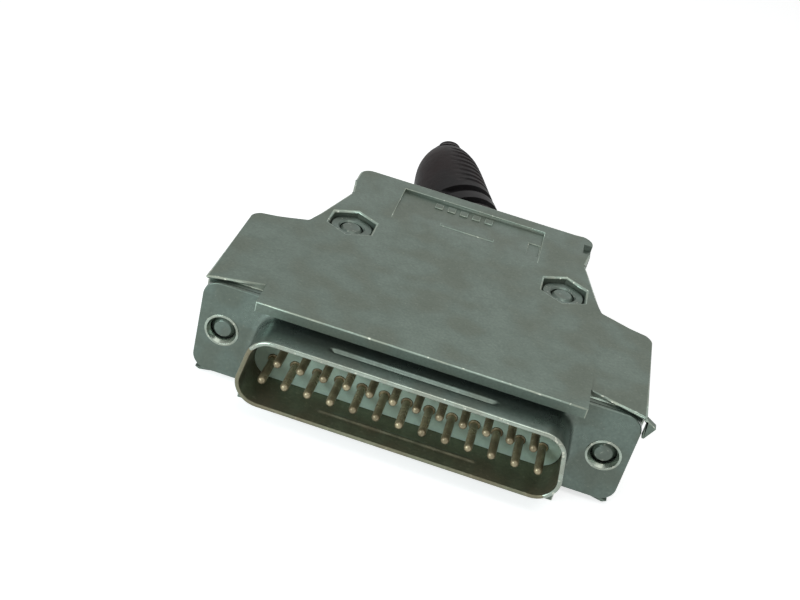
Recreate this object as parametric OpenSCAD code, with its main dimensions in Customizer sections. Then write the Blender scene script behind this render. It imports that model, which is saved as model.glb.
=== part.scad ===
// Twenty-five way D-sub plug in a two-part metal hood, with captive jackscrews and a rubber boot.
// The frame's origin is the centre of the flange's front face. The plug mates towards -Y,
// the cable leaves towards +Y, and the wide side of the D faces down (-Z).

/* [Plug shell] */
// Width of the flange plate
flange_w = 53.04; // [52.5:0.02:56]
// Height of the flange plate
flange_h = 12.55; // [12.4:0.05:13.5]
// Radius of the flange plate's corners
flange_corner = 2; // [0.5:0.1:3]
// Thickness of each of the two steel sheets
sheet_t = 0.55; // [0.4:0.05:0.7]
// Distance of the flange holes from the flange's ends
hole_end = 3; // [2.8:0.05:3.4]
// Inner diameter of the eyelets in the flange holes
hole_d = 3.05; // [3.0:0.01:3.2]
// Distance of the flange holes from the D's inner sides
hole_out = 4.04; // [3.9:0.02:4.4]
// Inner height of the D
mouth_h = 8.36; // [8.1:0.02:8.6]
// Inner corner radius of the D
mouth_corner = 2.5; // [1.5:0.1:3]
// Slant of the D's two sides
mouth_slant = 10; // [8:0.5:12]
// How far the D stands out of the flange
mouth_depth = 5.9; // [5.6:0.05:6.5]
// Fillet where the D meets the flange
root_fillet = 1.1; // [0.6:0.1:1.2]
// Length of the pressed grounding beads
bead_len = 19.4; // [8:0.2:24]
// Distance of the beads from the flange
bead_out = 3.4; // [2.6:0.1:4]
// Radius of the bead's outer groove
bead_groove = 0.35; // [0.25:0.05:0.4]
// How far the box behind the flange stands out beyond the D's inner sides
box_out = 1.02; // [0.9:0.02:1.2]
// Outer height of the box behind the flange
box_h = 10.8; // [10.4:0.05:11]
// Corner radius of the box
box_corner = 1.5; // [0.8:0.1:2.5]
// Length of the box, from the flange's front face
box_len = 5.2; // [4.6:0.1:6]
// Outer radius of an eyelet's tube
eyelet_r = 1.85; // [1.75:0.01:1.95]
// Radius of an eyelet's rolled rim
eyelet_rim_r = 2.15; // [2.05:0.05:2.4]
// Height of an eyelet's rolled rim
eyelet_rim_t = 0.12; // [0.08:0.02:0.2]

/* [Contacts] */
// Distance of the lower row's outer contacts from the D's inner sides
contact_side = 2.86; // [2.7:0.02:3]
// Distance between the two rows
row_gap = 2.84; // [2.6:0.02:3]
// Number of contacts in the upper row
upper_count = 12;
// Diameter of a contact pin
pin_d = 1.02; // [0.98:0.01:1.06]
// How much thicker a contact is inside the insulator
pin_swell = 0.18; // [0.17:0.01:0.25]
// How far a contact's shoulder stands in front of the insulator
shoulder_out = 0.12; // [0.08:0.01:0.2]
// How far the pins stop short of the D's rim
pin_short = 0.67; // [0.3:0.05:1.2]
// Diameter of a contact's barrel
barrel_d = 1.7; // [1.5:0.05:1.9]
// Diameter of a contact's collar
collar_d = 2.2; // [2.05:0.05:2.3]
// Thickness of a contact's collar
collar_t = 0.5; // [0.3:0.05:0.8]
// Inner diameter of a solder cup
cup_d = 1.15; // [0.9:0.05:1.2]
// Depth of a solder cup
cup_depth = 2.8; // [2:0.1:3.4]
// Length of a solder cup's open half
cup_open = 1.7; // [1:0.1:2]
// How far the contacts stand out behind the box
tail_len = 6.2; // [5:0.1:6.6]
// Where the front insulator's face lies in front of the flange
insulator_out = 0.3; // [0.1:0.05:0.8]
// Where the two insulators meet, from the flange's front face
insulator_split = 2.9; // [2.2:0.1:3.4]
// How far the rear insulator stands out behind the box
insulator_back = 1; // [0.4:0.1:1.6]
// Clearance round parts pressed together by hand
seat_gap = 0.06; // [0.04:0.01:0.08]

/* [Hood] */
// Wall of the hood
wall = 1.3; // [1.1:0.05:1.5]
// Metal above the flange's edge
cover_t = 0.67; // [0.6:0.05:0.9]
// Clearance of the flange in its slot
slot_gap = 0.05; // [0.03:0.01:0.08]
// Length of the hood behind the flange's front face
hood_len = 39; // [38:0.5:42]
// Length of the shoulders at their outer corners
shoulder_len = 17.4; // [16.6:0.1:18]
// Length of the shoulders where they meet the neck
shoulder_root = 19.7; // [19.2:0.1:20.4]
// Width of a shoulder, from the neck to the hood's side
shoulder_w = 6.82; // [6.4:0.02:7.1]
// How far the neck narrows on each side
neck_taper = 3.05; // [2.4:0.05:3.6]
// Distance of the neck's narrowest place from the hood's rear end
waist_back = 8.2; // [7.5:0.1:9.5]
// Half width of the hood's tail
tail_half = 17.2; // [16.8:0.1:18]
// Length of the tail's straight sides
tail_side = 4.5; // [3.8:0.1:5.4]
// Radius of the hood's outer corners
hood_corner = 1.8; // [1:0.1:2.4]
// Radius of the lower half's long edges
lower_edge = 2; // [1:0.1:2.2]
// Height of the raised pad over the shoulders
pad_step = 0.25; // [0.15:0.05:0.4]
// Where the pad starts to slope down
pad_slope_from = 9.5; // [7:0.5:11]
// Where the pad's slope ends
pad_slope_to = 14.8; // [13:0.1:17]
// Length of the lip in front of the flange
lip_len = 2.3; // [1.4:0.1:2.6]
// Gap between the lip and the D below it
lip_gap = 0.12; // [0.08:0.02:0.4]
// How far the lip reaches beyond the D's inner sides
lip_out = 0.17; // [0:0.01:0.4]
// Relief at the lip's root over the D's fillet
lip_relief = 1.2; // [1.1:0.05:1.4]
// How far the shoulders' front edges slant back
front_slant = 1.9; // [1:0.1:2.4]
// How far the bent front corner stands out of the hood's side
lug_out = 1.25; // [0.8:0.05:1.4]
// How far the bent front corner hangs down
lug_drop = 2.5; // [1.5:0.1:3]

/* [Label recess] */
// Half width of the recess
recess_half = 10.25; // [8:0.25:11]
// Distance of the recess from the hood's rear end
recess_back = 2.3; // [2:0.1:3]
// Length of the recess
recess_len = 9.2; // [7:0.1:10]
// Depth of the recess at its rear wall
recess_depth = 0.5; // [0.3:0.05:0.7]
// Height of the plain raised marks
mark_h = 0.22; // [0.1:0.02:0.3]
// Size of the plain raised marks in the rear row
mark_w = 1.1; // [0.8:0.1:1.4]
// Length of the small pocket beside the marks
pocket_len = 3.6; // [2.5:0.1:4.5]
// Width of the small pocket beside the marks
pocket_w = 1.6; // [1.2:0.1:2]
// Depth of the notch in the tail's right-hand corner
notch_depth = 0.8; // [0.5:0.1:1.2]
// Length of the notch
notch_len = 2.6; // [2:0.1:3]
// Width of the notch
notch_w = 1.2; // [0.8:0.1:1.6]

/* [Fasteners] */
// Distance of the hood screws from the neck's sides
screw_side = 5.2; // [5:0.05:5.6]
// Distance of the hood screws behind the shoulders
screw_back = 2.9; // [2.4:0.1:3.8]
// Diameter of the hood screws
screw_d = 3; // [2.5:0.1:3.1]
// Width of the hood nuts across their flats
nut_w = 5.5; // [5.3:0.1:5.7]
// Thickness of the hood nuts
nut_t = 2.4; // [2:0.1:2.8]
// How deep the nuts and screw heads sit below the hood's faces
sink = 0.7; // [0.4:0.1:1]
// Diameter of the hood screws' heads
head_d = 5.5; // [5:0.1:5.8]
// Height of the hood screws' heads
head_h = 2; // [1.6:0.1:2.4]
// Clearance of the fasteners in their holes and pockets
bolt_gap = 0.15; // [0.1:0.01:0.2]
// Wall of the bosses round the hood screws
boss_wall = 0.85; // [0.7:0.05:1]

/* [Jackscrews] */
// How far the jackscrews slide towards the mating connector
jack_travel = 5; // [4:0.1:5.2]
// How far the tips sit inside the flange holes
jack_inset = 0.35; // [0.2:0.05:0.6]
// Length of the threaded end
jack_thread_len = 6.15; // [5.5:0.05:6.4]
// Clearance of the threaded end in its eyelet
jack_gap = 0.09; // [0.06:0.01:0.12]
// Diameter of the shank
shank_d = 2.2; // [2:0.05:2.4]
// Diameter of the slotted head
jack_head_d = 4.1; // [3.8:0.1:4.2]
// Length of the slotted head
jack_head_len = 6; // [5.6:0.1:6.2]
// How far the head sits inside the hood
jack_head_in = 0.7; // [0.5:0.1:1]
// Clearance of the head in its channel
channel_gap = 0.25; // [0.2:0.01:0.3]
// Thickness of the retaining rib
rib_t = 1.2; // [1:0.1:1.4]
// Thickness of the retaining clip
clip_t = 0.6; // [0.5:0.05:0.7]
// Outer diameter of the retaining clip
clip_d = 3.3; // [3.1:0.05:3.4]
// Clearance of the retaining clip inside the hood
clip_gap = 0.3; // [0.25:0.05:0.4]
// Diameter of the groove that holds the clip
groove_d = 1.7; // [1.6:0.05:1.8]
// Running clearance of the clip in its groove
run_gap = 0.05; // [0.03:0.01:0.07]

/* [Cable clamp and boot] */
// Outer radius of the boot's inner sleeve
sleeve_r = 4.2; // [3.9:0.05:4.3]
// Radius of the boot's collar behind the hood's rear wall
collar_r = 5.3; // [5:0.05:5.4]
// Thickness of the boot's collar
collar_len = 2; // [1.5:0.1:2.2]
// Thickness of the hood's rear wall
rear_wall = 1.6; // [1.3:0.05:1.8]
// Length of the sleeve inside the hood
sleeve_len = 11; // [10:0.5:12]
// Radius of the cable passage in the sleeve
passage_r = 2.6; // [2:0.1:3]
// Radius of the cable passage in the boot's body
core_r = 2; // [1.7:0.1:2.3]
// Radius of the cable hole at the boot's tip
cable_r = 1.4; // [1:0.1:1.5]
// Length of the straight cable hole at the boot's tip
cable_hole_len = 4; // [3:0.5:5]
// Length of the boot behind the hood
boot_len = 21.66; // [20:0.2:23]
// Radius of the boot's body
boot_r = 5.85; // [5.5:0.05:6.2]
// Radius that the boot's body tapers towards
boot_tip_r = 2.09; // [1.8:0.01:2.6]
// Rubber round the cable hole at the boot's tip
boot_tip_wall = 0.32; // [0.3:0.02:0.6]
// Thickness of the clamp strap
strap_t = 1; // [0.8:0.1:1.1]
// Width of the clamp strap
strap_w = 5; // [4:0.5:5.5]
// Distance of the clamp strap's middle from the hood's rear end
strap_back = 7.5; // [7.4:0.1:8]
// Distance of the clamp screws from the middle
clamp_x = 7.6; // [7.4:0.1:8]
// Diameter of the clamp screws
clamp_screw_d = 2.5; // [2:0.1:2.6]
// Diameter of the clamp screws' heads
clamp_head_d = 4.4; // [4:0.1:4.6]
// Height of the clamp screws' heads
clamp_head_h = 1.6; // [1.2:0.1:1.8]
// How far the clamp screws reach below the middle
clamp_reach = 3.6; // [3:0.1:4]

/* [Hidden] */
arc_steps = 8;
cut = 0.02;
face_gap = 0.05;
$fn = 48;

lower_count = upper_count + 1;
flange_t = 2 * sheet_t;
flange_half = flange_w / 2;
hole_spacing = flange_w - 2 * hole_end;
mouth_w = hole_spacing - 2 * hole_out;
box_w = mouth_w + 2 * box_out;
pitch = (mouth_w - 2 * contact_side) / (lower_count - 1);
hood_half = flange_half;
neck_root = hood_half - shoulder_w;
neck_waist = neck_root - neck_taper;
waist_at = hood_len - waist_back;
tail_at = hood_len - tail_side;
lip_half = mouth_w / 2 + lip_out;
recess_to = hood_len - recess_back;
recess_from = recess_to - recess_len;
screw_x = neck_root - screw_side;
screw_y = shoulder_root + screw_back;
inner_half = hood_half - wall;
hood_top = flange_h / 2 + slot_gap + cover_t;
shoulder_top = hood_top - pad_step;
ceiling = hood_top - wall;
slot_top = flange_h / 2 + slot_gap;
slot_back = flange_t + slot_gap;
lip_bottom = mouth_h / 2 + sheet_t + lip_gap;
jack_x = hole_spacing / 2;
pin_tip = -(mouth_depth - pin_short);
tail_end = box_len + tail_len;
mouth_top_half = mouth_w / 2 - mouth_h * tan(mouth_slant);

// Jackscrew stations along Y
shoulder_at_jack = shoulder_len + (shoulder_root - shoulder_len)
    * (hood_half - jack_x) / (hood_half - neck_root);
jack_thread_end = jack_inset + jack_thread_len;
jack_head_from = shoulder_at_jack - jack_head_in;
channel_floor = jack_head_from - jack_travel - 0.2;
rib_front = channel_floor - rib_t;
clip_back = rib_front - face_gap;
clip_front = clip_back - clip_t;
thread_r = hole_d / 2 - jack_gap;
channel_r = jack_head_d / 2 + channel_gap;

// Hood screw stations along Z
nut_top = shoulder_top - sink;
nut_floor = nut_top - nut_t;
nut_r = nut_w / 2 / cos(30);
pocket_r = nut_r + bolt_gap;
boss_r = pocket_r + boss_wall;
head_seat = -(hood_top - sink - head_h);

// Clamp stations along Z
foot_z = -strap_t / 2;
strap_at = hood_len - strap_back;
sleeve_from = hood_len - sleeve_len;
strap_from = strap_at - strap_w / 2;
strap_to = strap_at + strap_w / 2;
cradle_half = clamp_x + clamp_head_d / 2 + 0.1;

// ---- outlines -------------------------------------------------------------------------------

function unit(v) = v / norm(v);
function pin_name(k) = str("pin_", k < 10 ? "0" : "", k);

// Arc of radius r that replaces the corner b between a and c
function corner_arc(a, b, c, r) =
    let (u = unit(a - b), v = unit(c - b),
         half = acos(max(-1, min(1, u * v))) / 2,
         centre = b + unit(u + v) * (r / sin(half)),
         from = b + u * (r / tan(half)) - centre,
         to = b + v * (r / tan(half)) - centre,
         start = atan2(from.y, from.x),
         turn = atan2(from.x * to.y - from.y * to.x, from * to))
    [for (i = [0 : arc_steps]) centre
        + r * [cos(start + turn * i / arc_steps), sin(start + turn * i / arc_steps)]];

// Outline through corners [x, y, radius], with every corner rounded by its radius
function rounded(p) =
    [for (i = [0 : len(p) - 1])
        let (a = p[(i + len(p) - 1) % len(p)], b = p[i], c = p[(i + 1) % len(p)])
        each b[2] > 0
            ? corner_arc([a.x, a.y], [b.x, b.y], [c.x, c.y], b[2])
            : [[b.x, b.y]]];

// Anticlockwise corners moved inwards by d, with their radii following
function inset(p, d) =
    [for (i = [0 : len(p) - 1])
        let (a = p[(i + len(p) - 1) % len(p)], b = p[i], c = p[(i + 1) % len(p)],
             u = unit([b.x - a.x, b.y - a.y]), v = unit([c.x - b.x, c.y - b.y]),
             shift = d * [-u.y - v.y, u.x + v.x] / (1 + u * v),
             turn = u.x * v.y - u.y * v.x)
        [b.x + shift.x, b.y + shift.y, b[2] > 0 ? max(0.05, b[2] - sign(turn) * d) : 0]];

// Right-hand corners, from the front to the back, completed by their mirror images
function both_sides(p) = concat(p, [for (i = [len(p) - 1 : -1 : 0]) [-p[i].x, p[i].y, p[i][2]]]);

function d_corners() = both_sides([
    [mouth_w / 2, -mouth_h / 2, mouth_corner],
    [mouth_top_half, mouth_h / 2, mouth_corner]]);

function box_corners(w, h, r) = both_sides([[w / 2, -h / 2, r], [w / 2, h / 2, r]]);

function hood_corners() = both_sides([
    [lip_half, -lip_len, 0],
    [lip_half, front_slant, 0],
    [hood_half, 0, 0],
    [hood_half, shoulder_len, hood_corner],
    [neck_root, shoulder_root, 0.6],
    [neck_waist, waist_at, 0.8],
    [tail_half, tail_at, 1],
    [tail_half, hood_len, hood_corner]]);

// Inner room of the hood, open towards the front
function room_corners() = inset(both_sides([
    [hood_half, -lip_len - wall, 0],
    [hood_half, shoulder_len, hood_corner],
    [neck_root, shoulder_root, 0.6],
    [neck_waist, waist_at, 0.8],
    [tail_half, tail_at, 1],
    [tail_half, hood_len - rear_wall + wall, hood_corner]]), wall);

// ---- helpers --------------------------------------------------------------------------------

// Extrudes an XZ outline from y0 to y1
module along_y(y0, y1) {
    translate([0, y1, 0]) rotate([90, 0, 0]) linear_extrude(y1 - y0) children();
}

// Extrudes a YZ outline from x0 to x1
module along_x(x0, x1) {
    translate([x0, 0, 0]) rotate([90, 0, 90]) linear_extrude(x1 - x0) children();
}

// Round bar along Y
module bar_y(x, z, r, y0, y1, sides = 48) {
    translate([x, y0, z]) rotate([-90, 0, 0]) cylinder(r = r, h = y1 - y0, $fn = sides);
}

// Turned part along Y from [radius, y] points
module turned_y(x, z, profile) {
    translate([x, 0, z]) rotate([-90, 0, 0]) rotate_extrude() polygon(profile);
}

// Straight round hole between two points
module drill(from, to, r) {
    way = to - from;
    translate(from)
        rotate([0, acos(way.z / norm(way)), atan2(way.y, way.x)])
            cylinder(r = r, h = norm(way));
}

// Closed skin through equal rings of points
module skin(rings) {
    sides = len(rings[0]);
    last = len(rings) - 1;
    polyhedron(
        points = [for (ring = rings) each ring],
        faces = concat(
            [[for (i = [sides - 1 : -1 : 0]) i]],
            [for (k = [0 : last - 1], i = [0 : sides - 1])
                [k * sides + i, k * sides + (i + 1) % sides,
                 (k + 1) * sides + (i + 1) % sides, (k + 1) * sides + i]],
            [[for (i = [0 : sides - 1]) last * sides + i]]),
        convexity = 6);
}

// ---- plug shell and insulators --------------------------------------------------------------

// Outer skin of the drawn D, with its rim eased and its root filleted into the flange
function d_ring(grow, y) = [for (p = rounded(inset(d_corners(), -grow))) [p.x, y, p.y]];

module drawn_d() {
    rim = 0.15;
    steps = 6;
    skin(concat(
        [d_ring(sheet_t - rim, -mouth_depth), d_ring(sheet_t, -mouth_depth + rim)],
        [for (i = [0 : steps])
            d_ring(sheet_t + root_fillet * (1 - cos(90 * i / steps)),
                   -root_fillet * (1 - sin(90 * i / steps)))],
        [d_ring(sheet_t + root_fillet, sheet_t / 2)]));
}

module bead(z_side, r, z) {
    for (end = [-1, 1])
        translate([end * bead_len / 2, -bead_out, z_side * z]) sphere(r = r, $fn = 24);
    translate([-bead_len / 2, -bead_out, z_side * z])
        rotate([0, 90, 0]) cylinder(r = r, h = bead_len, $fn = 24);
}

module flange_plate(y0, y1) {
    difference() {
        along_y(y0, y1) polygon(rounded(box_corners(flange_w, flange_h, flange_corner)));
        for (side = [-1, 1])
            bar_y(side * jack_x, 0, eyelet_r + seat_gap, y0 - cut, y1 + cut);
    }
}

module front_shell() {
    bead_bottom = mouth_h / 2 + sheet_t - bead_groove;
    bead_ridge = bead_groove + 0.12;
    color([0.58, 0.62, 0.58]) difference() {
        union() {
            difference() {
                union() {
                    drawn_d();
                    flange_plate(0, sheet_t);
                }
                along_y(-mouth_depth - cut, sheet_t + cut) polygon(rounded(d_corners()));
            }
            for (side = [-1, 1]) intersection() {
                bead(side, bead_ridge, bead_bottom + 0.1);
                translate([0, 0, side * (mouth_h / 2 + sheet_t / 2)])
                    cube([bead_len * 2, mouth_depth * 2, 2 * bead_ridge + sheet_t - 0.4], center = true);
            }
        }
        for (side = [-1, 1]) bead(side, bead_groove, mouth_h / 2 + sheet_t);
    }
}

module rear_shell() {
    box = box_corners(box_w, box_h, box_corner);
    color([0.55, 0.59, 0.55]) difference() {
        union() {
            flange_plate(sheet_t, flange_t);
            along_y(flange_t - cut, box_len) polygon(rounded(box));
        }
        along_y(sheet_t - cut, box_len - sheet_t) polygon(rounded(inset(box, sheet_t)));
        along_y(box_len - 2 * sheet_t, box_len + cut) polygon(rounded(d_corners()));
    }
}

module contact_holes(r, y0, y1) {
    for (k = [1 : upper_count + lower_count])
        bar_y(pin_x(k), pin_z(k), r, y0, y1, 24);
}

module insulator_front() {
    box = inset(box_corners(box_w, box_h, box_corner), sheet_t + seat_gap);
    color([0.55, 0.62, 0.62]) difference() {
        union() {
            along_y(-insulator_out, sheet_t + cut) polygon(rounded(inset(d_corners(), seat_gap)));
            along_y(sheet_t, insulator_split) polygon(rounded(box));
        }
        contact_holes(pin_d / 2 + pin_swell + seat_gap, -insulator_out - cut, insulator_split + cut);
    }
}

module insulator_rear() {
    box = inset(box_corners(box_w, box_h, box_corner), sheet_t + seat_gap);
    color([0.50, 0.57, 0.57]) difference() {
        union() {
            along_y(insulator_split, box_len - sheet_t) polygon(rounded(box));
            along_y(box_len - sheet_t - cut, box_len + insulator_back)
                polygon(rounded(inset(d_corners(), seat_gap)));
        }
        contact_holes(barrel_d / 2 + seat_gap, insulator_split - cut, box_len + insulator_back + cut);
        contact_holes(collar_d / 2 + seat_gap, insulator_split - cut, insulator_split + collar_t);
    }
}

// ---- contacts -------------------------------------------------------------------------------

// Contacts count from the left of the wide lower row, then from the left of the upper row
function pin_x(k) = k <= lower_count
    ? (k - (lower_count + 1) / 2) * pitch
    : (k - lower_count - (upper_count + 1) / 2) * pitch;
function pin_z(k) = k <= lower_count ? -row_gap / 2 : row_gap / 2;

module contact_pin(k) {
    r = pin_d / 2;
    face = -insulator_out - shoulder_out;
    tip = [for (a = [0 : 15 : 90]) [r * sin(a), pin_tip + r * (1 - cos(a))]];
    color([0.66, 0.55, 0.33]) difference() {
        turned_y(pin_x(k), pin_z(k), concat(tip, [
            [r, face],
            [r + pin_swell, face],
            [r + pin_swell, insulator_split],
            [collar_d / 2, insulator_split],
            [collar_d / 2, insulator_split + collar_t],
            [barrel_d / 2, insulator_split + collar_t],
            [barrel_d / 2, tail_end],
            [0, tail_end]]));
        bar_y(pin_x(k), pin_z(k), cup_d / 2, tail_end - cup_depth, tail_end + cut, 24);
        translate([pin_x(k) - barrel_d, tail_end - cup_open, pin_z(k)])
            cube([2 * barrel_d, cup_open + cut, barrel_d]);
    }
}

// ---- eyelets and jackscrews -----------------------------------------------------------------

module eyelet(side) {
    rim = eyelet_rim_t;
    color([0.70, 0.72, 0.70]) turned_y(side * jack_x, 0, [
        [hole_d / 2, -rim / 2],
        [hole_d / 2 + rim / 2, -rim],
        [eyelet_rim_r - rim, -rim],
        [eyelet_rim_r, 0],
        [eyelet_r, 0],
        [eyelet_r, flange_t],
        [eyelet_rim_r, flange_t],
        [eyelet_rim_r - rim, flange_t + rim],
        [hole_d / 2, flange_t + rim]]);
}

module eyelet_left() eyelet(-1);
module eyelet_right() eyelet(1);

module jackscrew(side) {
    point = 0.4;
    ease = 0.3;
    slot_w = 0.8;
    slot_depth = 1.2;
    head_to = jack_head_from + jack_head_len;
    groove_from = clip_front - run_gap;
    groove_to = clip_back + run_gap;
    color([0.62, 0.66, 0.64]) difference() {
        turned_y(side * jack_x, 0, [
            [0, jack_inset],
            [thread_r - point, jack_inset],
            [thread_r, jack_inset + point],
            [thread_r, jack_thread_end - ease],
            [shank_d / 2, jack_thread_end],
            [shank_d / 2, groove_from],
            [groove_d / 2, groove_from],
            [groove_d / 2, groove_to],
            [shank_d / 2, groove_to],
            [shank_d / 2, jack_head_from],
            [jack_head_d / 2 - ease, jack_head_from],
            [jack_head_d / 2, jack_head_from + ease],
            [jack_head_d / 2, head_to - ease],
            [jack_head_d / 2 - ease, head_to],
            [0, head_to]]);
        translate([side * jack_x - jack_head_d, head_to - slot_depth, -slot_w / 2])
            cube([2 * jack_head_d, slot_depth + cut, slot_w]);
    }
}

module jackscrew_left() jackscrew(-1);
module jackscrew_right() jackscrew(1);

// Open clip that snaps sideways into the jackscrew's groove
module jackscrew_clip(side) {
    mouth = groove_d * 0.8;
    color([0.35, 0.36, 0.38]) difference() {
        bar_y(side * jack_x, 0, clip_d / 2, clip_front, clip_back);
        bar_y(side * jack_x, 0, groove_d / 2 + run_gap, clip_front - cut, clip_back + cut);
        translate([side * jack_x - mouth / 2, clip_front - cut, -clip_d])
            cube([mouth, clip_t + 2 * cut, clip_d]);
    }
}

module jackscrew_clip_left() jackscrew_clip(-1);
module jackscrew_clip_right() jackscrew_clip(1);

// ---- hood -----------------------------------------------------------------------------------

// Block that carries a jackscrew's head, and its two bores
module jack_block(side) {
    inner = hood_half - jack_x + cut;
    translate([side * jack_x - (side > 0 ? channel_r + 0.6 : inner - 0.1), rib_front, 0])
        cube([channel_r + 0.5 + inner, shoulder_at_jack - rib_front - 0.5, ceiling + cut]);
}

module jack_bores(side) {
    bar_y(side * jack_x, 0, clip_d / 2 + clip_gap, slot_back, rib_front);
    bar_y(side * jack_x, 0, shank_d / 2 + bolt_gap, rib_front - cut, channel_floor + cut);
    bar_y(side * jack_x, 0, channel_r, channel_floor, shoulder_root + 2);
}

// Ledge behind the flange's edge, under the slanted front of a shoulder
module front_ledge(side) {
    translate([0, 0, ceiling - cut]) linear_extrude(slot_top - ceiling + cut) polygon([
        [side * (lip_half - wall), slot_back],
        [side * inner_half, slot_back],
        [side * inner_half, slot_back + wall],
        [side * (lip_half - wall), front_slant + wall]]);
}

// Upper half of a hood shell, from the parting face at z = 0 to the outer face
module half_shell(slope_drop) {
    front = [
        [-lip_len - wall, -cut],
        [slot_back, -cut],
        [slot_back, slot_top],
        [-slot_gap, slot_top],
        [-slot_gap, lip_bottom + root_fillet],
        [-lip_relief, lip_bottom],
        [-lip_len - wall, lip_bottom]];
    pad_side = [
        [-lip_len, 0],
        [hood_len, 0],
        [hood_len, hood_top - slope_drop],
        [pad_slope_to, hood_top - slope_drop],
        [pad_slope_from, hood_top],
        [-lip_len, hood_top]];
    difference() {
        union() {
            difference() {
                union() {
                    linear_extrude(shoulder_top) polygon(rounded(hood_corners()));
                    intersection() {
                        linear_extrude(hood_top) polygon(rounded(hood_corners()));
                        along_x(-lip_half - pad_step, lip_half + pad_step) polygon(pad_side);
                        along_y(-lip_len, hood_len) polygon([
                            [-lip_half - pad_step, 0],
                            [lip_half + pad_step, 0],
                            [lip_half + pad_step, shoulder_top],
                            [lip_half, hood_top],
                            [-lip_half, hood_top],
                            [-lip_half - pad_step, shoulder_top]]);
                    }
                }
                translate([0, 0, -cut]) linear_extrude(ceiling + cut) polygon(rounded(room_corners()));
            }
            for (side = [-1, 1]) {
                jack_block(side);
                front_ledge(side);
                intersection() {
                    translate([side * screw_x, screw_y, 0]) cylinder(r = boss_r, h = ceiling + cut);
                    linear_extrude(ceiling + cut) polygon(rounded(hood_corners()));
                }
            }
        }
        along_x(-hood_half - 1, hood_half + 1) polygon(front);
        for (side = [-1, 1]) {
            jack_bores(side);
            translate([side * screw_x, screw_y, -cut])
                cylinder(r = screw_d / 2 + bolt_gap, h = hood_top + 1);
        }
        bar_y(0, 0, sleeve_r + bolt_gap, hood_len - rear_wall - cut, hood_len + cut);
    }
}

// Raised marks of no meaning, where such hoods carry lettering
module label_marks() {
    row_y = recess_to - 1.7;
    long_at = recess_from + 2.2;
    floor_z = shoulder_top - recess_depth;
    row_step = mark_w * 1.8 / 1.1;
    long_w = mark_w * 7.6 / 1.1;
    for (i = [0 : 4])
        translate([-3 * row_step + row_step * i, row_y - 0.7, floor_z])
            cube([mark_w, 1.4, mark_h + 0.1]);
    translate([-long_w / 2, long_at - 0.35, shoulder_top - 0.35]) cube([long_w, 0.7, mark_h + 0.1]);
}

// The right front corner, bent out and down over the flange's end
module bent_corner() {
    lug_side = hood_half + 0.08;
    along_y(-0.45, 0.5) polygon([
        [hood_half - 0.3, shoulder_top],
        [lug_side, shoulder_top - 0.05],
        [hood_half + lug_out, shoulder_top - 0.3 * lug_drop],
        [lug_side + 0.3, shoulder_top - lug_drop],
        [lug_side, shoulder_top - lug_drop],
        [lug_side, slot_top + cut],
        [hood_half - 0.3, slot_top + cut]]);
}

module hood_upper() {
    color([0.48, 0.53, 0.49]) union() {
        difference() {
            half_shell(pad_step);
            for (side = [-1, 1])
                translate([side * screw_x, screw_y, nut_floor])
                    rotate([0, 0, 90]) cylinder(r = pocket_r, h = hood_top, $fn = 6);
            along_x(-recess_half, recess_half) polygon([
                [recess_from, shoulder_top + cut],
                [recess_to, shoulder_top + cut],
                [recess_to, shoulder_top - recess_depth],
                [recess_from, shoulder_top]]);
            translate([recess_half - pocket_w - 0.15, recess_from + 1.7, shoulder_top - 0.45])
                cube([pocket_w, pocket_len, 1]);
            translate([tail_half - notch_w, tail_at - 0.3, shoulder_top - notch_depth])
                cube([2 * notch_w, notch_len, 2 * notch_depth]);
        }
        label_marks();
        bent_corner();
    }
}

module hood_lower() {
    cradle_top = -foot_z + 0.05;
    color([0.44, 0.48, 0.45]) mirror([0, 0, 1]) difference() {
        union() {
            intersection() {
                half_shell(0);
                along_y(-lip_len - wall, hood_len + wall) polygon(rounded(both_sides([
                    [hood_half, -cut, 0],
                    [hood_half, hood_top, lower_edge]])));
            }
            translate([-cradle_half, strap_from, cradle_top])
                cube([2 * cradle_half, strap_w, ceiling - cradle_top + cut]);
        }
        for (side = [-1, 1]) {
            translate([side * screw_x, screw_y, -head_seat])
                cylinder(r = head_d / 2 + bolt_gap, h = hood_top);
            translate([side * clamp_x, strap_at, 0])
                cylinder(r = clamp_screw_d / 2 + seat_gap, h = ceiling - 0.6, $fn = 32);
        }
        bar_y(0, 0, sleeve_r + seat_gap, strap_from - cut, strap_to + cut);
    }
}

// ---- hood fasteners -------------------------------------------------------------------------

module hood_nut(side) {
    color([0.66, 0.68, 0.66]) translate([side * screw_x, screw_y, nut_floor]) difference() {
        rotate([0, 0, 90]) cylinder(r = nut_r, h = nut_t, $fn = 6);
        translate([0, 0, -cut]) cylinder(r = screw_d / 2 + seat_gap, h = nut_t + 2 * cut);
    }
}

module hood_nut_left() hood_nut(-1);
module hood_nut_right() hood_nut(1);

module hood_screw(side) {
    slot_w = 0.8;
    point = 0.35;
    head_face = head_seat - head_h;
    color([0.62, 0.64, 0.62]) translate([side * screw_x, screw_y, 0]) difference() {
        rotate_extrude() polygon([
            [0, head_face],
            [head_d / 2 - 0.2, head_face],
            [head_d / 2, head_face + 0.2],
            [head_d / 2, head_seat],
            [screw_d / 2, head_seat],
            [screw_d / 2, nut_top - point],
            [screw_d / 2 - point, nut_top],
            [0, nut_top]]);
        translate([-head_d, -slot_w / 2, head_face - cut]) cube([2 * head_d, slot_w, 1]);
    }
}

module hood_screw_left() hood_screw(-1);
module hood_screw_right() hood_screw(1);

// ---- cable clamp ----------------------------------------------------------------------------

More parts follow.
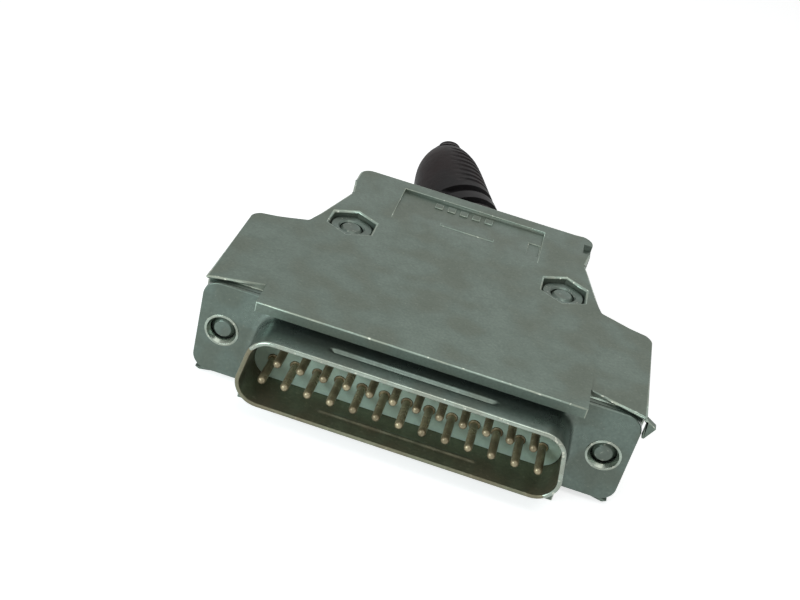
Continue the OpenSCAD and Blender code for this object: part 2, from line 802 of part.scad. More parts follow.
module cable_clamp() {
    inner = sleeve_r + 0.05;
    outer = inner + strap_t;
    color([0.60, 0.62, 0.60]) difference() {
        union() {
            bar_y(0, 0, outer, strap_from, strap_to);
            translate([-cradle_half, strap_from, foot_z]) cube([2 * cradle_half, strap_w, strap_t]);
        }
        bar_y(0, 0, inner, strap_from - cut, strap_to + cut);
        translate([-outer - cut, strap_from - cut, -outer - cut])
            cube([2 * (outer + cut), strap_w + 2 * cut, outer + foot_z + cut]);
        for (side = [-1, 1])
            translate([side * clamp_x, strap_at, foot_z - cut])
                cylinder(r = clamp_screw_d / 2 + seat_gap, h = strap_t + 2 * cut, $fn = 32);
    }
}

module clamp_screw(side) {
    slot_w = 0.6;
    top = foot_z + strap_t + clamp_head_h;
    color([0.66, 0.68, 0.66]) translate([side * clamp_x, strap_at, 0]) difference() {
        rotate_extrude() polygon([
            [0, -clamp_reach],
            [clamp_screw_d / 2 - 0.3, -clamp_reach],
            [clamp_screw_d / 2, -clamp_reach + 0.4],
            [clamp_screw_d / 2, foot_z + strap_t],
            [clamp_head_d / 2, foot_z + strap_t],
            [clamp_head_d / 2, top - 0.5],
            [clamp_head_d / 2 - 0.5, top],
            [0, top]]);
        translate([-clamp_head_d, -slot_w / 2, top - 0.8]) cube([2 * clamp_head_d, slot_w, 1]);
    }
}

module clamp_screw_left() clamp_screw(-1);
module clamp_screw_right() clamp_screw(1);

// ---- boot -----------------------------------------------------------------------------------

boot_from = hood_len + face_gap;
boot_steps = 46;
boot_sides = 24;

// The boot's axis leans left just behind its base and then straightens and lifts towards its tip
function boot_lean(t) = 39 * (1 - exp(-t * boot_len / 2)) - 29.7 * t;
function boot_lift(t) = 3 * (1 - exp(-t * boot_len / 2)) + 20.1 * t;
function boot_way(t) = [
    -sin(boot_lean(t)) * cos(boot_lift(t)),
    cos(boot_lean(t)) * cos(boot_lift(t)),
    sin(boot_lift(t))];
boot_path = [for (i = 0, p = [0, boot_from, 0]; i <= boot_steps;
    p = p + boot_way((i + 0.5) / boot_steps) * boot_len / boot_steps, i = i + 1) p];

// Radius without grooves: straight, then tapering late, with a rounded nose
function boot_nose(t) = let (e = max(0, (t - 0.74) / 0.355)) sqrt(max(0, 1 - e * e));
function boot_body(t) = (boot_r + (boot_tip_r - boot_r) * pow(t, 4.5)) * boot_nose(t);

// Two deep gaps by the hood, fine ribs along the body and one groove behind the tip
boot_grooves = concat(
    [[0.136, 0.078, 1.3], [0.292, 0.078, 1.1]],
    [for (i = [0 : 3]) [0.428 + 0.104 * i, 0.052, 0.45]],
    [[0.908, 0.052, 0.5]]);
function groove_depth(t) = max([for (g = boot_grooves)
    g[2] * max(0, 1 - pow(abs(t - g[0]) / (g[1] / 2), 4))]);
function boot_radius(t) = max(cable_r + boot_tip_wall, boot_body(t) - groove_depth(t));

function boot_ring(i) =
    let (t = i / boot_steps, way = boot_way(t), r = boot_radius(t),
         across = unit([way.y, -way.x, 0]), up = cross(across, way))
    [for (k = [0 : boot_sides - 1])
        boot_path[i] + r * (cos(360 * k / boot_sides) * across + sin(360 * k / boot_sides) * up)];

module boot() {
    tip = boot_path[boot_steps];
    nose = boot_way(1);
    straight = tip - nose * cable_hole_len;
    color([0.12, 0.12, 0.13]) difference() {
        union() {
            skin([for (i = [0 : boot_steps]) boot_ring(i)]);
            bar_y(0, 0, sleeve_r, sleeve_from, boot_from + 0.4);
            bar_y(0, 0, collar_r, hood_len - rear_wall - face_gap - collar_len,
                  hood_len - rear_wall - face_gap);
        }
        bar_y(0, 0, passage_r, sleeve_from - cut, boot_from + 2);
        drill([0, boot_from + 1, 0], straight, core_r);
        drill(straight - nose, tip + nose, cable_r);
    }
}

// ---- drawing --------------------------------------------------------------------------------

hood_upper();
hood_lower();
front_shell();
rear_shell();
insulator_front();
insulator_rear();
for (k = [1 : upper_count + lower_count])
    contact_pin(k);
eyelet_left();
eyelet_right();
jackscrew_left();
jackscrew_right();
jackscrew_clip_left();
jackscrew_clip_right();
hood_nut_left();
hood_nut_right();
hood_screw_left();
hood_screw_right();
cable_clamp();
clamp_screw_left();
clamp_screw_right();
boot();
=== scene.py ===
import math

import bmesh
import bpy
import numpy as np
from mathutils import Matrix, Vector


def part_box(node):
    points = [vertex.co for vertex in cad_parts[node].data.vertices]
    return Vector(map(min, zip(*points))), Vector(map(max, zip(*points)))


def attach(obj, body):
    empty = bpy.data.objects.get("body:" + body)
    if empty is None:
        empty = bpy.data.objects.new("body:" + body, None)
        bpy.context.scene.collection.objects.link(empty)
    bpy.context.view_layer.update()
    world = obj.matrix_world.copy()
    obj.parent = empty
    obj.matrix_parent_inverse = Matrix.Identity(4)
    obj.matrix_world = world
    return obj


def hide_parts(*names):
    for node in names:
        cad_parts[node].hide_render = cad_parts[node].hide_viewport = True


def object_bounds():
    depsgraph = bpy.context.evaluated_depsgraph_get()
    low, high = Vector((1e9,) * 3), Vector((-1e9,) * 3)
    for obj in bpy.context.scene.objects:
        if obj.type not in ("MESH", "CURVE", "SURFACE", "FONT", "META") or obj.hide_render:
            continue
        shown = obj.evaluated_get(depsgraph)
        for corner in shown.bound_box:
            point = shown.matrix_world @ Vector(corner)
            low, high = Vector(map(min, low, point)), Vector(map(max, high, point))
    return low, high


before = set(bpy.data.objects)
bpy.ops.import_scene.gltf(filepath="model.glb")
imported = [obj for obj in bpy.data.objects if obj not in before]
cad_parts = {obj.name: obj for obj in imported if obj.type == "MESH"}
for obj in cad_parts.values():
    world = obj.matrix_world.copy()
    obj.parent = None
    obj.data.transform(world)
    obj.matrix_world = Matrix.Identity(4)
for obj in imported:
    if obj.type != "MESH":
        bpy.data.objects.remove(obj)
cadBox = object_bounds()
mm = 0.001  # every shape below is worked out in millimetres and put into the mesh in metres
print("frame loaded,", len(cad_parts), "nodes")


def boxMm(node):
    low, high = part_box(node)
    return np.array(low) / mm, np.array(high) / mm


def middleMm(node):
    low, high = boxMm(node)
    return (low + high) / 2


# A grid becomes quads between each row and the next; rings close on themselves when wrapped
def gridFaces(rows, columns, wrapRows=False, wrapColumns=True, start=0):
    index = start + np.arange(rows * columns).reshape(rows, columns)
    lower = index if wrapRows else index[:-1]
    upper = np.roll(index, -1, axis=0) if wrapRows else index[1:]
    if wrapColumns:
        right = lambda part: np.roll(part, -1, axis=1)
        left = lambda part: part
    else:
        right = lambda part: part[:, 1:]
        left = lambda part: part[:, :-1]
    quads = np.stack([left(lower), right(lower), right(upper), left(upper)], axis=-1)
    return quads.reshape(-1, 4)


# Joins several grids of points into one closed mesh, whose doubled seams and poles are merged
def closedMesh(name, grids, flats=(), mergeDistance=0.0004):
    mesh = bpy.data.meshes.new(name)
    coords = []
    faces = []
    count = 0
    for points, wrapRows, wrapColumns in grids:
        rows, columns = points.shape[:2]
        coords.append(points.reshape(-1, 3))
        faces.append(gridFaces(rows, columns, wrapRows, wrapColumns, count))
        count += rows * columns
    mesh.from_pydata((np.concatenate(coords) * mm).tolist(), [], np.concatenate(faces).tolist())
    body = bmesh.new()
    body.from_mesh(mesh)
    bmesh.ops.remove_doubles(body, verts=body.verts, dist=mergeDistance * mm)
    bmesh.ops.dissolve_degenerate(body, edges=body.edges, dist=mergeDistance * mm * 0.5)
    for loops in flats:
        fillFlat(body, loops, mergeDistance)
    bmesh.ops.recalc_face_normals(body, faces=body.faces)
    body.to_mesh(mesh)
    body.free()
    return mesh


# Fills the flat area between an outer loop and the loops inside it with triangles
def fillFlat(body, loops, mergeDistance):
    edges = []
    for loop in loops:
        verts = [body.verts.new(tuple(p * mm)) for p in loop]
        edges += [body.edges.new((a, b)) for a, b in zip(verts, verts[1:] + verts[:1])]
    bmesh.ops.triangle_fill(body, use_beauty=True, use_dissolve=False, edges=edges)
    bmesh.ops.remove_doubles(body, verts=body.verts, dist=mergeDistance * mm)


def addPiece(mesh, bodyName, nodes, materials, smoothAngle=35):
    piece = bpy.data.objects.new(mesh.name, mesh)
    bpy.context.scene.collection.objects.link(piece)
    mesh.shade_smooth()
    mesh.set_sharp_from_angle(angle=math.radians(smoothAngle))
    for material in materials:
        mesh.materials.append(material)
    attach(piece, bodyName)
    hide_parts(*nodes)
    return piece


# Corner points with a radius each; every corner is replaced by an arc of that radius
def roundedLine(corners, steps=6, closed=False):
    points = []
    last = len(corners)
    for i, (a, b, radius) in enumerate(corners):
        here = np.array([a, b], float)
        if radius <= 0 or (not closed and i in (0, last - 1)):
            points.append(here)
            continue
        before = np.array(corners[i - 1][:2], float) - here
        after = np.array(corners[(i + 1) % last][:2], float) - here
        u = before / np.linalg.norm(before)
        v = after / np.linalg.norm(after)
        half = math.acos(max(-1, min(1, float(u @ v)))) / 2
        middle = here + (u + v) / np.linalg.norm(u + v) * (radius / math.sin(half))
        first = here + u * (radius / math.tan(half)) - middle
        final = here + v * (radius / math.tan(half)) - middle
        startAngle = math.atan2(first[1], first[0])
        turn = math.atan2(first[0] * final[1] - first[1] * final[0], float(first @ final))
        angles = startAngle + turn * np.linspace(0, 1, steps + 1)
        points += list(middle + radius * np.stack([np.cos(angles), np.sin(angles)], axis=1))
    return np.array(points)


# A profile of radius and station turned about an axis along Y; detail adds to the radius
def turnedAlongY(centre, profile, sides, detail=None):
    angles = np.linspace(0, 2 * math.pi, sides, endpoint=False)[None, :]
    radius = profile[:, 0][:, None] + 0 * angles
    station = profile[:, 1][:, None] + 0 * angles
    if detail is not None:
        radius, station = detail(radius, station, angles)
    return np.stack([centre[0] + radius * np.cos(angles), station,
                     centre[2] + radius * np.sin(angles)], axis=-1)


# The same about an axis along Z
def turnedAlongZ(centre, profile, sides, detail=None):
    angles = np.linspace(0, 2 * math.pi, sides, endpoint=False)[None, :]
    radius = profile[:, 0][:, None] + 0 * angles
    station = profile[:, 1][:, None] + 0 * angles
    if detail is not None:
        radius, station = detail(radius, station, angles)
    return np.stack([centre[0] + radius * np.cos(angles),
                     centre[1] + radius * np.sin(angles), station], axis=-1)


# Points spaced evenly enough along a profile for fine detail to show
def finer(profile, spacing):
    parts = []
    for a, b in zip(profile[:-1], profile[1:]):
        steps = max(1, int(math.ceil(np.linalg.norm(b - a) / spacing)))
        parts.append(a + (b - a) * np.linspace(0, 1, steps, endpoint=False)[:, None])
    parts.append(profile[-1:])
    return np.concatenate(parts)


def linear(red, green, blue):
    def one(value):
        value /= 255
        return value / 12.92 if value <= 0.04045 else ((value + 0.055) / 1.055) ** 2.4
    return (one(red), one(green), one(blue), 1)


# Node group: broad cloudy patches, fine speckle and a few bright flecks from Object coordinates
def buildMottle():
    group = bpy.data.node_groups.new("mottle", "ShaderNodeTree")
    face = group.interface
    for label, default in (("Patch Scale", 300), ("Speckle Scale", 2500), ("Fleck Scale", 4000),
                           ("Patch Amount", 0.5), ("Speckle Amount", 0.5), ("Fleck Amount", 0.2),
                           ("Roughness Low", 0.35), ("Roughness High", 0.6), ("Bump", 0.3)):
        made = face.new_socket(label, in_out="INPUT", socket_type="NodeSocketFloat")
        made.default_value = default
    for label in ("Dark Colour", "Main Colour", "Light Colour", "Tint Colour"):
        face.new_socket(label, in_out="INPUT", socket_type="NodeSocketColor")
    face.new_socket("Colour", in_out="OUTPUT", socket_type="NodeSocketColor")
    face.new_socket("Roughness", in_out="OUTPUT", socket_type="NodeSocketFloat")
    face.new_socket("Normal", in_out="OUTPUT", socket_type="NodeSocketVector")
    nodes = group.nodes
    link = group.links.new
    given = nodes.new("NodeGroupInput")
    out = nodes.new("NodeGroupOutput")
    where = nodes.new("ShaderNodeTexCoord").outputs["Object"]

    def noise(scale, detail, roughness=0.6):
        node = nodes.new("ShaderNodeTexNoise")
        node.inputs["Detail"].default_value = detail
        node.inputs["Roughness"].default_value = roughness
        link(where, node.inputs["Vector"])
        link(given.outputs[scale], node.inputs["Scale"])
        return node.outputs["Fac"]

    def ranged(value, low, high, outLow=0.0, outHigh=1.0):
        node = nodes.new("ShaderNodeMapRange")
        node.inputs["From Min"].default_value = low
        node.inputs["From Max"].default_value = high
        node.inputs["To Min"].default_value = outLow
        node.inputs["To Max"].default_value = outHigh
        link(value, node.inputs["Value"])
        return node.outputs["Result"]

    def maths(kind, a, b):
        node = nodes.new("ShaderNodeMath")
        node.operation = kind
        for socket, value in zip(node.inputs, (a, b)):
            if hasattr(value, "is_linked"):
                link(value, socket)
            else:
                socket.default_value = value
        return node.outputs[0]

    def mixed(factor, a, b):
        node = nodes.new("ShaderNodeMix")
        node.data_type = "RGBA"
        link(factor, node.inputs["Factor"])
        link(a, node.inputs["A"])
        link(b, node.inputs["B"])
        return node.outputs["Result"]

    patch = ranged(noise("Patch Scale", 4), 0.36, 0.64)
    speckle = ranged(noise("Speckle Scale", 2, 0.5), 0.3, 0.7)
    tint = ranged(noise("Patch Scale", 1), 0.45, 0.6)
    fleck = ranged(noise("Fleck Scale", 1, 0.4), 0.66, 0.74)
    dark = maths("MULTIPLY", patch, given.outputs["Patch Amount"])
    colour = mixed(dark, given.outputs["Main Colour"], given.outputs["Dark Colour"])
    warm = maths("MULTIPLY", tint, given.outputs["Patch Amount"])
    colour = mixed(warm, colour, given.outputs["Tint Colour"])
    grain = maths("MULTIPLY", speckle, given.outputs["Speckle Amount"])
    colour = mixed(grain, colour, given.outputs["Dark Colour"])
    glint = maths("MULTIPLY", fleck, given.outputs["Fleck Amount"])
    colour = mixed(glint, colour, given.outputs["Light Colour"])
    link(colour, out.inputs["Colour"])
    spread = maths("SUBTRACT", given.outputs["Roughness High"], given.outputs["Roughness Low"])
    rough = maths("ADD", given.outputs["Roughness Low"], maths("MULTIPLY", spread, patch))
    link(rough, out.inputs["Roughness"])
    height = maths("ADD", maths("MULTIPLY", patch, 0.35), maths("MULTIPLY", speckle, 0.65))
    bump = nodes.new("ShaderNodeBump")
    bump.inputs["Distance"].default_value = 0.00012
    link(given.outputs["Bump"], bump.inputs["Strength"])
    link(height, bump.inputs["Height"])
    link(bump.outputs["Normal"], out.inputs["Normal"])
    return group


mottle = buildMottle()


# Makes one finish: the mottle group's values and colours, and the plain sockets of the shader
def finish(name, colours, values, metallic, ior=1.5, specular=0.5):
    material = bpy.data.materials.new(name)
    material.use_nodes = True
    nodes = material.node_tree.nodes
    link = material.node_tree.links.new
    shader = nodes["Principled BSDF"]
    shader.inputs["Metallic"].default_value = metallic
    shader.inputs["IOR"].default_value = ior
    shader.inputs["Specular IOR Level"].default_value = specular
    group = nodes.new("ShaderNodeGroup")
    group.node_tree = mottle
    for label, colour in colours.items():
        group.inputs[label].default_value = linear(*colour)
    for label, value in values.items():
        group.inputs[label].default_value = value
    link(group.outputs["Colour"], shader.inputs["Base Color"])
    link(group.outputs["Roughness"], shader.inputs["Roughness"])
    link(group.outputs["Normal"], shader.inputs["Normal"])
    return material


castMetal = finish("castMetal", {
    "Main Colour": (108, 122, 112), "Dark Colour": (88, 98, 89),
    "Light Colour": (150, 162, 150), "Tint Colour": (106, 112, 98)}, {
    "Patch Scale": 190, "Speckle Scale": 3000, "Fleck Scale": 2600,
    "Patch Amount": 0.5, "Speckle Amount": 0.5, "Fleck Amount": 0.12,
    "Roughness Low": 0.42, "Roughness High": 0.56, "Bump": 0.1}, 0.6)
# Lighter finish of the rounded cast edges: partly edge wear, partly a painted highlight along the edges
castEdgeWearAndPaintedHighlight = finish("castEdgeWearAndPaintedHighlight", {
    "Main Colour": (150, 166, 154), "Dark Colour": (116, 128, 118),
    "Light Colour": (236, 240, 224), "Tint Colour": (154, 158, 142)}, {
    "Patch Scale": 330, "Speckle Scale": 1500, "Fleck Scale": 2100,
    "Patch Amount": 0.6, "Speckle Amount": 0.4, "Fleck Amount": 0.7,
    "Roughness Low": 0.3, "Roughness High": 0.46, "Bump": 0.12}, 0.85)
platedSteel = finish("platedSteel", {
    "Main Colour": (104, 118, 110), "Dark Colour": (78, 88, 82),
    "Light Colour": (170, 172, 158), "Tint Colour": (94, 100, 88)}, {
    "Patch Scale": 230, "Speckle Scale": 2400, "Fleck Scale": 2300,
    "Patch Amount": 0.45, "Speckle Amount": 0.4, "Fleck Amount": 0.1,
    "Roughness Low": 0.26, "Roughness High": 0.4, "Bump": 0.06}, 0.75)
# Painted shade: a duller, rougher steel laid on the faces in the hollow of the D and on its lower rim,
# where shade falls
paintedShadeSteel = finish("paintedShadeSteel", {
    "Main Colour": (128, 130, 108), "Dark Colour": (92, 94, 78),
    "Light Colour": (170, 168, 146), "Tint Colour": (124, 112, 90)}, {
    "Patch Scale": 230, "Speckle Scale": 2400, "Fleck Scale": 2300,
    "Patch Amount": 0.5, "Speckle Amount": 0.4, "Fleck Amount": 0.25,
    "Roughness Low": 0.32, "Roughness High": 0.5, "Bump": 0.08}, 0.8)
# Bright smooth steel: the eyelets' own finish, and a painted highlight where it lies on the upper rim and
# right end of the D
brightSteelAndPaintedHighlight = finish("brightSteelAndPaintedHighlight", {
    "Main Colour": (160, 172, 160), "Dark Colour": (116, 126, 118),
    "Light Colour": (240, 238, 220), "Tint Colour": (150, 152, 138)}, {
    "Patch Scale": 420, "Speckle Scale": 2000, "Fleck Scale": 2300,
    "Patch Amount": 0.5, "Speckle Amount": 0.3, "Fleck Amount": 0.4,
    "Roughness Low": 0.18, "Roughness High": 0.3, "Bump": 0.05}, 0.9)
insulatorPlastic = finish("insulatorPlastic", {
    "Main Colour": (186, 210, 194), "Dark Colour": (156, 178, 166),
    "Light Colour": (214, 230, 216), "Tint Colour": (178, 196, 174)}, {
    "Patch Scale": 260, "Speckle Scale": 2200, "Fleck Scale": 2600,
    "Patch Amount": 0.4, "Speckle Amount": 0.3, "Fleck Amount": 0.2,
    "Roughness Low": 0.4, "Roughness High": 0.55, "Bump": 0.1}, 0.0)
contactGold = finish("contactGold", {
    "Main Colour": (170, 158, 126), "Dark Colour": (84, 76, 58),
    "Light Colour": (214, 208, 176), "Tint Colour": (108, 94, 68)}, {
    "Patch Scale": 420, "Speckle Scale": 2600, "Fleck Scale": 3000,
    "Patch Amount": 0.45, "Speckle Amount": 0.25, "Fleck Amount": 0.3,
    "Roughness Low": 0.24, "Roughness High": 0.36, "Bump": 0.05}, 0.45)
screwSteel = finish("screwSteel", {
    "Main Colour": (104, 118, 110), "Dark Colour": (74, 82, 78),
    "Light Colour": (190, 192, 180), "Tint Colour": (98, 104, 94)}, {
    "Patch Scale": 350, "Speckle Scale": 1900, "Fleck Scale": 2600,
    "Patch Amount": 0.45, "Speckle Amount": 0.3, "Fleck Amount": 0.35,
    "Roughness Low": 0.26, "Roughness High": 0.4, "Bump": 0.12}, 0.9)
clipSteel = finish("clipSteel", {
    "Main Colour": (92, 94, 98), "Dark Colour": (58, 58, 60),
    "Light Colour": (150, 150, 148), "Tint Colour": (84, 76, 66)}, {
    "Patch Scale": 420, "Speckle Scale": 2400, "Fleck Scale": 3000,
    "Patch Amount": 0.5, "Speckle Amount": 0.3, "Fleck Amount": 0.3,
    "Roughness Low": 0.3, "Roughness High": 0.45, "Bump": 0.12}, 0.9)
bootRubber = finish("bootRubber", {
    "Main Colour": (16, 13, 14), "Dark Colour": (12, 11, 12),
    "Light Colour": (40, 44, 41), "Tint Colour": (34, 20, 19)}, {
    "Patch Scale": 170, "Speckle Scale": 1500, "Fleck Scale": 2400,
    "Patch Amount": 0.5, "Speckle Amount": 0.35, "Fleck Amount": 0.2,
    "Roughness Low": 0.5, "Roughness High": 0.66, "Bump": 0.2}, 0.0, specular=0.25)
print("finishes made")


# The die-cast halves of the hood
hoodSettings = {"bevelWidth": 0.26, "bevelSegments": 3, "edgeAngle": 32, "shortest": 0.3,
                "mergeGap": 0.004, "finePart": 0.25, "lipPart": 0.55, "padSide": (19.3, 20.2)}


# Share of the full rounding at an edge: little in the label recess and on the bent corner, about
# half on the lip's upper edge, and none under the lip, at the notch or along the low pad's sides
def edgeShare(place):
    k = hoodSettings
    height = abs(place.z)
    if k["padSide"][0] < abs(place.x) < k["padSide"][1] and height > 6.6 and place.y > -1.9:
        return 0
    if place.y < -1.2 and abs(place.x) < k["padSide"][1]:
        return k["lipPart"] if height > 6 else 0
    if place.z < -5.8 and abs(place.x) > 23 and place.y < 1.3:
        return 0
    marks = abs(place.x) < 10.9 and 26.9 < place.y < 37.3 and place.z > 6
    if place.x > 15.3 and 33.5 < place.y < 39.1 and place.z > 5.6:
        return 0
    bent = place.x > 26.56 and place.z > 3 and place.y < 0.6
    return k["finePart"] if marks or bent else 1


# Cuts the copy's faces along planes through its screw holes, jackscrews and recess, so that no
# flat face goes all the way round a hole, where a bevel could fold it over
def scoreCells(body):
    nut = middleMm("hood_nut_right")
    jack = middleMm("jackscrew_right")
    planes = [((side * x, 0, 0), (1, 0, 0)) for side in (-1, 1) for x in (nut[0], jack[0], 10.25)]
    planes += [((0, y, 0), (0, 1, 0)) for y in (nut[1], 27.5, 31.5, 36.7)]
    for place, normal in planes:
        made = bmesh.ops.bisect_plane(body, geom=body.verts[:] + body.edges[:] + body.faces[:],
                                      dist=1e-7, plane_co=np.array(place) * mm, plane_no=normal)
        for piece in made["geom_cut"]:
            if isinstance(piece, bmesh.types.BMEdge):
                piece.seam = True


# The CAD solid's loose triangles are welded, flat areas are joined, and the outward edges that
# are long enough are marked, so that a bevel gives them the rounding that a casting has.
def castCopy(node, name):
    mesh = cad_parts[node].data.copy()
    mesh.name = name
    mesh.materials.clear()
    body = bmesh.new()
    body.from_mesh(mesh)
    gap = hoodSettings["mergeGap"] * mm
    bmesh.ops.remove_doubles(body, verts=body.verts, dist=gap)
    scoreCells(body)
    bmesh.ops.dissolve_limit(body, angle_limit=math.radians(0.7), verts=body.verts,
                             edges=body.edges, delimit={"SEAM"})
    bmesh.ops.dissolve_degenerate(body, edges=body.edges, dist=gap)
    weight = body.edges.layers.float.new("bevel_weight_edge")
    limit = math.radians(hoodSettings["edgeAngle"])
    shortest = hoodSettings["shortest"] * mm
    low, high = boxMm(node)
    for edge in body.edges:
        if len(edge.link_faces) == 2 and edge.is_convex and edge.calc_face_angle(0) > limit:
            if edge.calc_length() > shortest:
                edge[weight] = edgeShare((edge.verts[0].co + edge.verts[1].co) / 2 / mm)
    body.to_mesh(mesh)
    body.free()
    piece = addPiece(mesh, "hood", [node], [castMetal, castEdgeWearAndPaintedHighlight])
    bevel = piece.modifiers.new("castRounding", "BEVEL")
    bevel.limit_method = "WEIGHT"
    bevel.width = hoodSettings["bevelWidth"] * mm
    bevel.segments = hoodSettings["bevelSegments"]
    # The bevel's faces take the lighter edge finish, which is partly wear and partly a painted highlight
    bevel.material = 1
    bevel.use_clamp_overlap = False
    even = piece.modifiers.new("flatFaces", "WEIGHTED_NORMAL")
    even.keep_sharp = True
    return piece


castCopy("hood_upper", "hoodUpperCast")
castCopy("hood_lower", "hoodLowerCast")
print("hood halves made")


# The drawn steel shell with its D, flange and pressed beads
shellSettings = {"halfWidth": 19.48, "halfHeight": 4.18, "corner": 2.5, "slant": 10, "sheet": 0.55,
                 "depth": 5.9, "innerRound": 0.16, "outerRound": 0.26, "fillet": 1.1,
                 "beadAt": -3.4, "beadHalf": 9.7, "beadWide": 0.27, "beadDeep": 0.34,
                 "flangeHalf": (26.52, 6.275), "flangeCorner": 2, "flangeRound": 0.13,
                 "holeRadius": 1.9, "spacing": 0.13, "rimBand": 0.2, "paintedHighlightAbove": 3,
                 "paintedHighlightBeyond": 18}


# Outline of a convex ring as points with their outward normals: each corner is an arc about its
# own centre, and each side is divided evenly, so the ring grows by moving along the normals
def ringWithNormals(centres, radius, angles, arcSteps, sideSteps):
    points = []
    normals = []
    count = len(centres)
    for i in range(count):
        turn = np.radians(np.linspace(angles[i][0], angles[i][1], arcSteps + 1))
        arc = np.stack([np.cos(turn), np.sin(turn)], axis=1)
        points.append(centres[i] + radius * arc)
        normals.append(arc)
        after = np.array(centres[(i + 1) % count]) + radius * arc[-1]
        share = np.linspace(0, 1, sideSteps[i] + 2)[1:-1, None]
        points.append(points[-1][-1] * (1 - share) + after * share)
        normals.append(np.repeat(arc[-1:], sideSteps[i], axis=0))
    return np.concatenate(points), np.concatenate(normals)


def dRing():
    k = shellSettings
    tilt = math.radians(k["slant"])
    edge = math.cos(tilt) * k["halfWidth"] - math.sin(tilt) * k["halfHeight"]
    across = lambda z: (edge - k["corner"] - math.sin(tilt) * z) / math.cos(tilt)
    top = k["halfHeight"] - k["corner"]
    centres = [(across(-top), -top), (across(top), top), (-across(top), top), (-across(-top), -top)]
    angles = [(-90, k["slant"]), (k["slant"], 90), (90, 180 - k["slant"]), (180 - k["slant"], 270)]
    return ringWithNormals(centres, k["corner"], angles, 14, [8, 130, 8, 130])


def flangeRing():
    k = shellSettings
    x = k["flangeHalf"][0] - k["flangeCorner"]
    z = k["flangeHalf"][1] - k["flangeCorner"]
    return ringWithNormals([(x, -z), (x, z), (-x, z), (-x, -z)], k["flangeCorner"],
                           [(-90, 0), (0, 90), (90, 180), (180, 270)], 10, [4, 16, 4, 16])


# A point of the ring moved along its normal by grow, at station y
def grownRing(ring, grow, y):
    points, normals = ring
    grow = np.broadcast_to(grow, (np.size(y), len(points)))
    flat = points[None] + grow[..., None] * normals[None]
    station = np.broadcast_to(np.reshape(y, (-1, 1)), grow.shape)
    return np.stack([flat[..., 0], station, flat[..., 1]], axis=-1)


def buildPlugShell():
    k = shellSettings
    ring = dRing()
    edge = k["sheet"] + k["fillet"] + 0.01
    profile = roundedLine([(0, k["sheet"], 0), (0, -k["depth"], k["innerRound"]),
                           (k["sheet"], -k["depth"], k["outerRound"]),
                           (k["sheet"], 0, k["fillet"]), (edge, 0, 0)], 7)
    profile = finer(profile, k["spacing"])
    grow = profile[:, 0][:, None]
    station = profile[:, 1]
    # The bead is a long dent, a bell curve across and eased at its two ends, in the long sides
    along = np.clip((k["beadHalf"] + 0.3 - np.abs(ring[0][:, 0])) / 0.6, 0, 1)
    along = along * along * (3 - 2 * along) * (np.abs(ring[1][:, 1]) > 0.999)
    across = np.exp(-((station - k["beadAt"]) / k["beadWide"]) ** 2)
    dent = k["beadDeep"] * across[:, None] * along[None, :]
    inside = profile[:, 0][:, None] < k["sheet"] / 2
    wall = grownRing(ring, grow - dent * np.where(inside, 0.7, 1), station)
    outer = flangeRing()
    rimProfile = roundedLine([(-0.2, 0, 0), (0, 0, k["flangeRound"]),
                              (0, k["sheet"], k["flangeRound"]), (-0.2, k["sheet"], 0)], 4)
    rim = grownRing(outer, rimProfile[:, 0][:, None], rimProfile[:, 1])
    holes = []
    for side in ("left", "right"):
        centre = middleMm("eyelet_" + side)
        holes.append(turnedAlongY(centre, np.array([[k["holeRadius"], 0],
                                                    [k["holeRadius"], k["sheet"]]]), 64))
    flats = [[rim[0], wall[-1], holes[0][0], holes[1][0]],
             [rim[-1], wall[0], holes[0][1], holes[1][1]]]
    grids = [(wall, False, True), (rim, False, True)] + [(hole, False, True) for hole in holes]
    mesh = closedMesh("plugShellFront", grids, flats)
    addPiece(mesh, "hood", ["front_shell"],
             [platedSteel, paintedShadeSteel, brightSteelAndPaintedHighlight], 40)
    # Painted shade and painted highlight: the faces that look inwards in the D, and the lower rim, take
    # the second, duller finish in place of the shade that falls in the hollow and under the rim, while
    # the upper rim and the right end take the third, bright finish as a painted highlight
    count = len(mesh.polygons)
    middles = np.zeros(count * 3)
    normals = np.zeros(count * 3)
    mesh.polygons.foreach_get("center", middles)
    mesh.polygons.foreach_get("normal", normals)
    middles = middles.reshape(-1, 3)
    normals = normals.reshape(-1, 3)
    paintedShadeFaces = (middles[:, 0] * normals[:, 0] < 0) & (np.abs(normals[:, 0]) > 0.7)
    paintedShadeFaces |= (middles[:, 2] * normals[:, 2] < 0) & (np.abs(normals[:, 2]) > 0.3)
    paintedShadeFaces &= middles[:, 1] < k["sheet"] * mm
    paintedShadeFaces &= (np.abs(middles[:, 0]) < 20 * mm) & (np.abs(middles[:, 2]) < 4.5 * mm)
    rim = middles[:, 1] < (k["rimBand"] - k["depth"]) * mm
    bright = (middles[:, 2] > k["paintedHighlightAbove"] * mm) | (middles[:, 0] > k["paintedHighlightBeyond"] * mm)
    finishes = np.where(rim & bright, 2, np.where(paintedShadeFaces | rim, 1, 0))
    mesh.polygons.foreach_set("material_index", finishes.astype(np.int32))


buildPlugShell()
print("plug shell made")


# The rolled eyelets in the flange holes
eyeletSettings = {"bore": 1.53, "tube": 1.86, "rim": 2.15, "front": -0.13, "back": 1.23,
                  "flange": 1.1, "mouth": 1.86, "mouthDeep": 0.42, "sides": 72}


